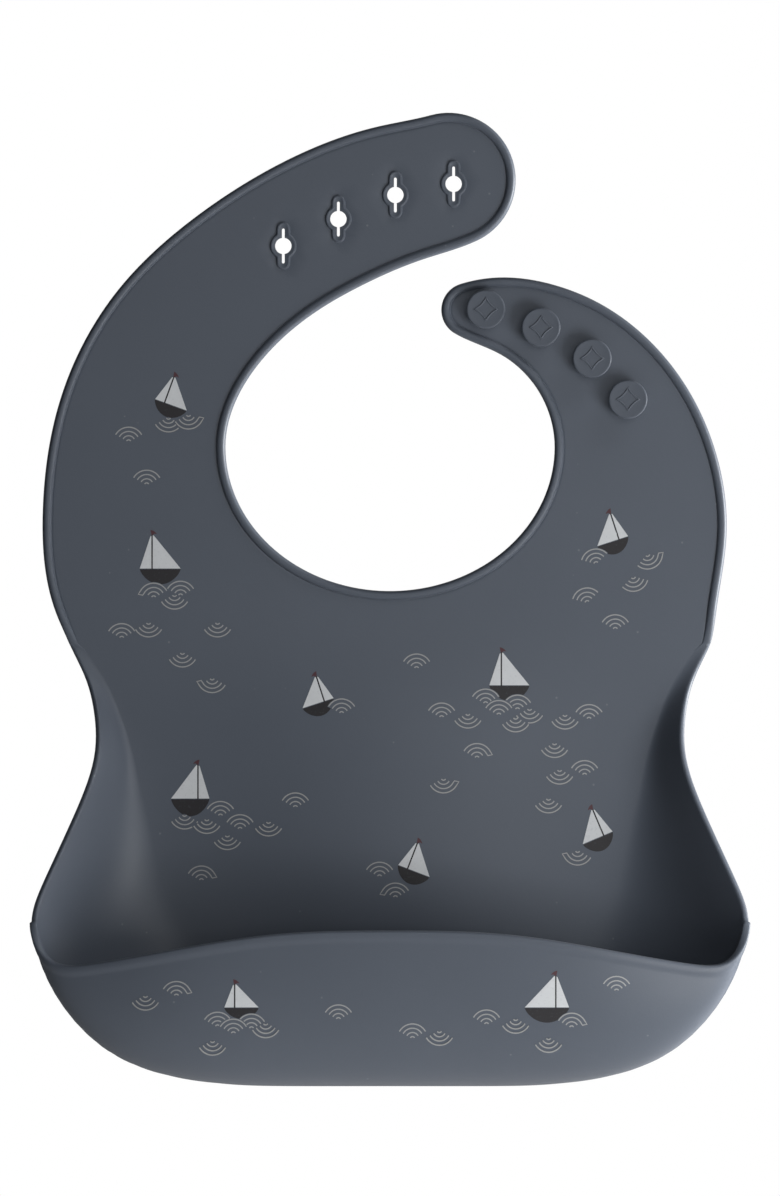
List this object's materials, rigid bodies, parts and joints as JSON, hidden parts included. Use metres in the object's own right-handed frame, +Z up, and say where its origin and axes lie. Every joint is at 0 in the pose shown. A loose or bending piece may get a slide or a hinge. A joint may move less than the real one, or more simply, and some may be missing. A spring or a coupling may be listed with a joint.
{
  "type": "silicone bib",
  "caption": "Soft one-piece baby bib with a flat chest panel, an open catch pocket along its lower edge and two neck straps that button together behind the neck.",
  "frame": {"origin": "centre of the neck opening, in the plane of the flat moulding's back", "axes": "+Z up towards the neck straps, +Y into the wearer's chest, +X to the wearer's left; the decorated front faces -Y"},
  "size_m": [0.224, 0.05, 0.3063],
  "materials": {
    "silicone": "fine matt moulded silicone, slate blue-grey"
  },
  "bodies": {
    "bib": {"chest_panel": "silicone", "pocket_floor": "silicone", "pocket_left_wall": "silicone", "pocket_right_wall": "silicone", "pocket_left_gusset": "silicone", "pocket_right_gusset": "silicone"},
    "pocket_lip": {"pocket_front": "silicone"},
    "hole_shoulder": {"hole_strap_shoulder": "silicone"},
    "hole_middle": {"hole_strap_middle": "silicone"},
    "hole_end": {"hole_strap_end": "silicone"},
    "button_shoulder": {"button_strap_shoulder": "silicone"},
    "button_end": {"button_strap_end": "silicone", "neck_button_1": "silicone", "neck_button_2": "silicone", "neck_button_3": "silicone", "neck_button_4": "silicone"}
  },
  "joints": [
    {"name": "hole_shoulder_bend", "type": "hinge", "parent": "bib", "child": "hole_shoulder", "pos_m": [-0.0205, 0, -0.0058], "axis": [-0.8387, 0, -0.5446], "range_deg": [-12, 71], "stiffness_Nm_per_rad": 0.25},
    {"name": "hole_middle_bend", "type": "hinge", "parent": "hole_shoulder", "child": "hole_middle", "pos_m": [-0.0205, 0, -0.0058], "axis": [-0.9703, 0, 0.2419], "range_deg": [-6, 33], "stiffness_Nm_per_rad": 0.2},
    {"name": "hole_end_bend", "type": "hinge", "parent": "hole_middle", "child": "hole_end", "pos_m": [-0.0205, 0, -0.0058], "axis": [-0.4695, 0, 0.8829], "range_deg": [-3.5, 18], "stiffness_Nm_per_rad": 0.15},
    {"name": "button_shoulder_bend", "type": "hinge", "parent": "bib", "child": "button_shoulder", "pos_m": [-0.0205, 0, -0.0058], "axis": [-0.9135, 0, 0.4067], "range_deg": [-12, 62], "stiffness_Nm_per_rad": 0.2},
    {"name": "button_end_bend", "type": "hinge", "parent": "button_shoulder", "child": "button_end", "pos_m": [-0.0205, 0, -0.0058], "axis": [-0.9994, 0, 0.0349], "range_deg": [-9, 43], "stiffness_Nm_per_rad": 0.15},
    {"name": "pocket_flex", "type": "hinge", "parent": "bib", "child": "pocket_lip", "pos_m": [0, -0.021, -0.2013], "axis": [-1, 0, 0], "range_deg": [-12, 24], "stiffness_Nm_per_rad": 0.1, "deforming": ["pocket_left_gusset", "pocket_right_gusset"]}
  ],
  "couplings": [
    {"joint": "hole_middle_bend", "follows": "hole_shoulder_bend", "ratio": 0.4535},
    {"joint": "hole_end_bend", "follows": "hole_shoulder_bend", "ratio": 0.236},
    {"joint": "button_end_bend", "follows": "button_shoulder_bend", "ratio": 0.6875}
  ]
}
